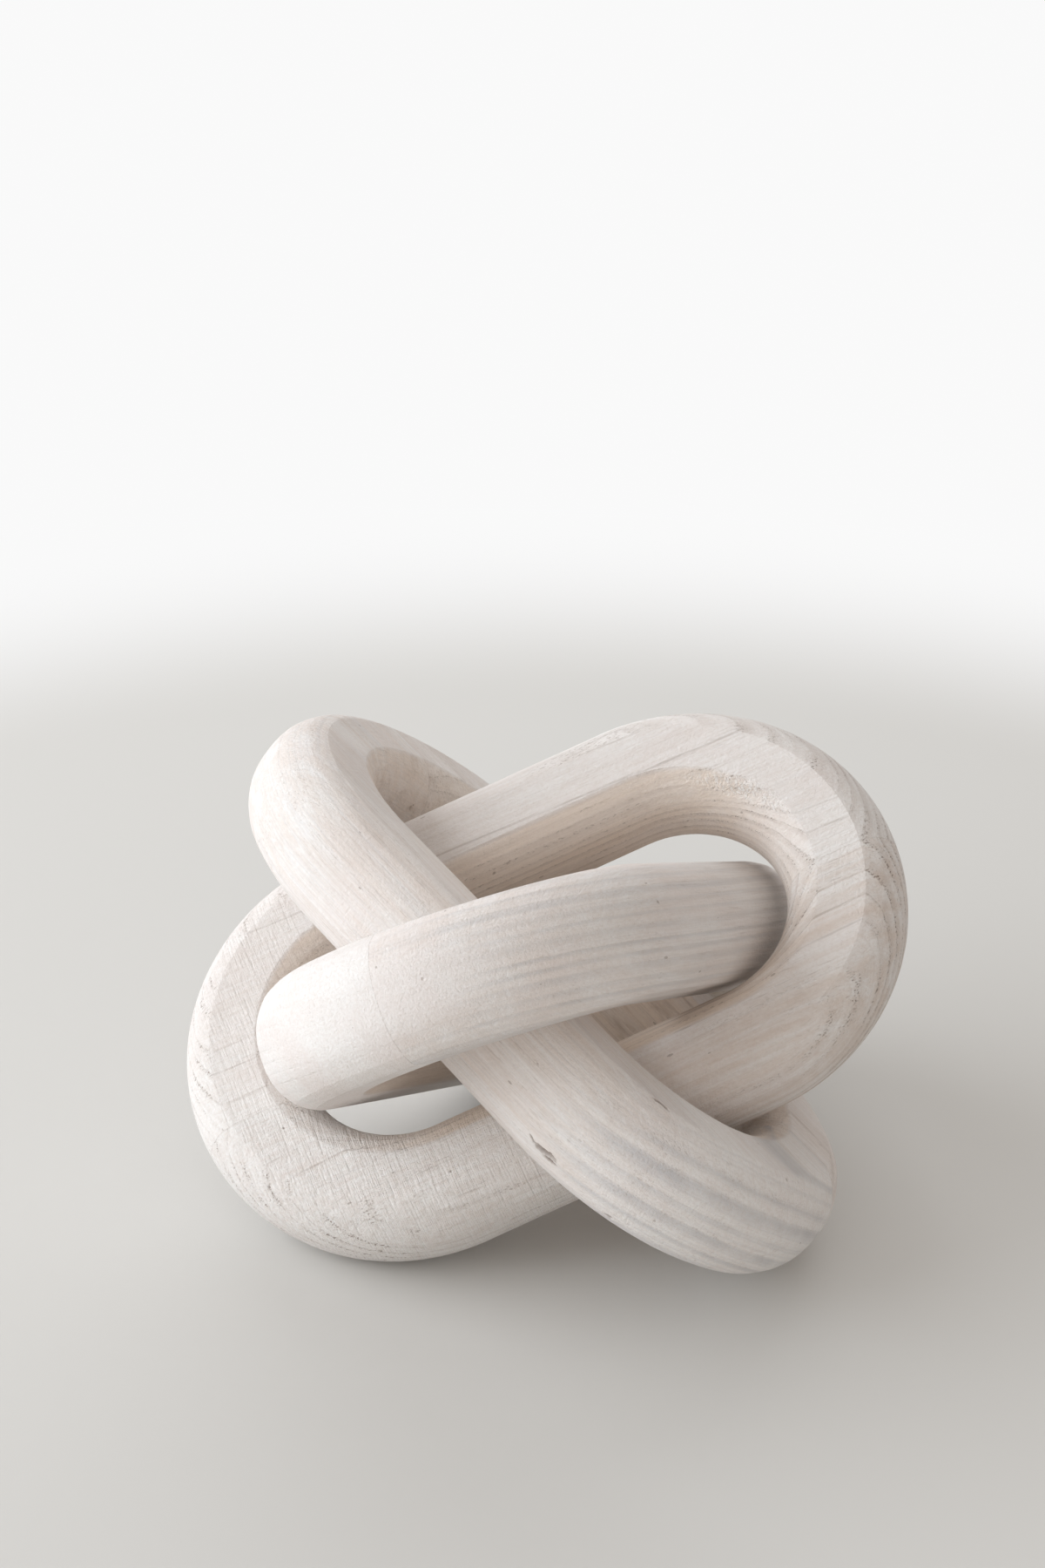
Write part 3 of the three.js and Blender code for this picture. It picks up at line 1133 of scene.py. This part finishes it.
def buildLink(plainRing, link):
    body = link["body"]
    nodeNames = [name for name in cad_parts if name.startswith(body)]
    dowels = any("dowel" in name for name in nodeNames)
    place = linkPlace(nodeNames)
    ring = plainRing.copy()
    roundEnds(ring, link["endBulge"])
    sandByHand(ring, link["seed"])
    stain = ring.verts.layers.float.new("stain")
    torn = ring.verts.layers.float.new("torn")
    surface = BVHTree.FromBMesh(ring)
    for mark in link["marks"]:
        cutMark(ring, mark, surface, stain, torn)
    for halfName, half in link["halves"].items():
        bm = sawnHalf(ring, link["glueLine"], half["side"], dowels)
        bm.transform(place)
        name = f"{body}_{halfName}_stave"
        mesh = bpy.data.meshes.new(name)
        bm.to_mesh(mesh)
        bm.free()
        mesh.materials.append(whitewashedWood(name + "_wood", place, link["glueLine"], half))
        stave = bpy.data.objects.new(name, mesh)
        bpy.context.scene.collection.objects.link(stave)
        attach(stave, body)
        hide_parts(f"{body}_{halfName}_half")
        print("stave:", name, len(mesh.polygons), "faces")
    ring.free()


# The dowels inside the closing link: bare turned beech with short dark flecks. Scales are cycles a metre.
beech = {
    "pale": (0.66, 0.50, 0.33),
    "deep": (0.56, 0.39, 0.24),
    "fleck": (0.36, 0.22, 0.13),
    "streakScale": (900, 900, 900),
    "streakRange": (0.35, 0.65),
    "fleckScale": (3500, 3500, 1200),
    "fleckShift": (3, 0, 0),
    "fleckRange": (0.68, 0.74, 0.0, 0.7),
    "roughness": 0.6,
    "reliefStrength": 0.3,
    "reliefDepth": 0.0001,
}


def dowelWood():
    material, tree = newMaterial("beech")
    position = addNode(tree, "TexCoord").outputs["Object"]
    streaks = grainNoise(tree, position, beech["streakScale"], (0, 0, 0), 3.0)
    flecks = grainNoise(tree, position, beech["fleckScale"], beech["fleckShift"], 1.0)
    colour = mixColour(tree, remap(tree, streaks, *beech["streakRange"]), beech["pale"], beech["deep"])
    colour = mixColour(tree, remap(tree, flecks, *beech["fleckRange"]), colour, beech["fleck"])
    relief = {"Height": streaks, "Strength": beech["reliefStrength"], "Distance": beech["reliefDepth"]}
    bump = addNode(tree, "Bump", relief).outputs[0]
    inputs = {"Base Color": colour, "Roughness": beech["roughness"], "Normal": bump}
    shader = addNode(tree, "BsdfPrincipled", inputs)
    addNode(tree, "OutputMaterial", {"Surface": shader.outputs[0]})
    return material


def finishDowels():
    wood = dowelWood()
    for name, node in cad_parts.items():
        if "dowel" in name:
            node.data.materials.clear()
            node.data.materials.append(wood)


# A plain pale floor that turns white further out, and soft light from a large window on the left, less from
# behind and a little from the front
studio = {
    "floorSize": 12.0,
    "floorColour": (0.668, 0.657, 0.632),
    "floorRoughness": 0.6,
    "floorSpecular": 0.2,
    "outerColour": (0.86, 0.86, 0.86),
    "outerStart": 0.30,
    "outerEnd": 0.50,
    "whiteStrength": 0.95,
    "skyColour": (1.0, 0.945, 0.895),
    "skyStrength": 0.495,
    "windowSize": (2.0, 1.5),
    "windows": {
        "left_window": {"place": (-1.54, -0.13, 0.68), "power": 29.3, "colour": (0.93, 0.99, 1.05)},
        "front_window": {"place": (-0.5, -1.8, 0.8), "power": 6.0, "colour": (1.0, 0.97, 0.94)},
        "back_window": {"place": (0.0, 1.5, 1.0), "power": 11.5, "colour": (0.97, 1.0, 1.03)},
    },
}


def addFloor():
    bm = bmesh.new()
    bmesh.ops.create_grid(bm, x_segments=4, y_segments=4, size=studio["floorSize"] / 2)
    mesh = bpy.data.meshes.new("floor")
    bm.to_mesh(mesh)
    bm.free()
    material, tree = newMaterial("pale_floor")
    position = addNode(tree, "TexCoord").outputs["Object"]
    distance = addNode(tree, "VectorMath", {0: position}, operation="LENGTH").outputs["Value"]
    outer = remap(tree, distance, studio["outerStart"], studio["outerEnd"])
    colour = mixColour(tree, outer, studio["floorColour"], studio["outerColour"])
    inputs = {
        "Base Color": colour,
        "Roughness": studio["floorRoughness"],
        "Specular IOR Level": studio["floorSpecular"],
    }
    ground = addNode(tree, "BsdfPrincipled", inputs)
    seen = product(tree, addNode(tree, "LightPath").outputs["Is Camera Ray"], outer)
    white = addNode(tree, "Emission", {"Color": (1, 1, 1, 1), "Strength": studio["whiteStrength"]})
    surface = addNode(tree, "MixShader", {0: seen, 1: ground.outputs[0], 2: white.outputs[0]})
    addNode(tree, "OutputMaterial", {"Surface": surface.outputs[0]})
    mesh.materials.append(material)
    floor = bpy.data.objects.new("floor", mesh)
    bpy.context.scene.collection.objects.link(floor)


# The room's own light, with plain white beyond the floor's edge where the camera looks past it
def addRoom():
    world = bpy.data.worlds.new("soft_room")
    world.use_nodes = True
    tree = world.node_tree
    tree.nodes.clear()
    inputs = {"Color": (*studio["skyColour"], 1), "Strength": studio["skyStrength"]}
    sky = addNode(tree, "Background", inputs)
    white = addNode(tree, "Background", {"Color": (1, 1, 1, 1), "Strength": studio["whiteStrength"]})
    seen = addNode(tree, "LightPath").outputs["Is Camera Ray"]
    surface = addNode(tree, "MixShader", {0: seen, 1: sky.outputs[0], 2: white.outputs[0]})
    addNode(tree, "OutputWorld", {"Surface": surface.outputs[0]})
    bpy.context.scene.world = world


def addWindows():
    for name, settings in studio["windows"].items():
        data = bpy.data.lights.new(name, "AREA")
        data.shape = "RECTANGLE"
        data.size, data.size_y = studio["windowSize"]
        data.energy = settings["power"]
        data.color = settings["colour"]
        window = bpy.data.objects.new(name, data)
        window.location = settings["place"]
        window.rotation_euler = (-Vector(settings["place"])).to_track_quat("-Z", "Y").to_euler()
        bpy.context.scene.collection.objects.link(window)


addCamera(photoView)
plainRing = sweptRing(ringSize)
for link in (facingLink, crossingLink, closingLink):
    buildLink(plainRing, link)
plainRing.free()
finishDowels()
addFloor()
addRoom()
addWindows()
bpy.context.scene.view_settings.view_transform = "Standard"
print("scene: links, dowels, floor and light are in place")
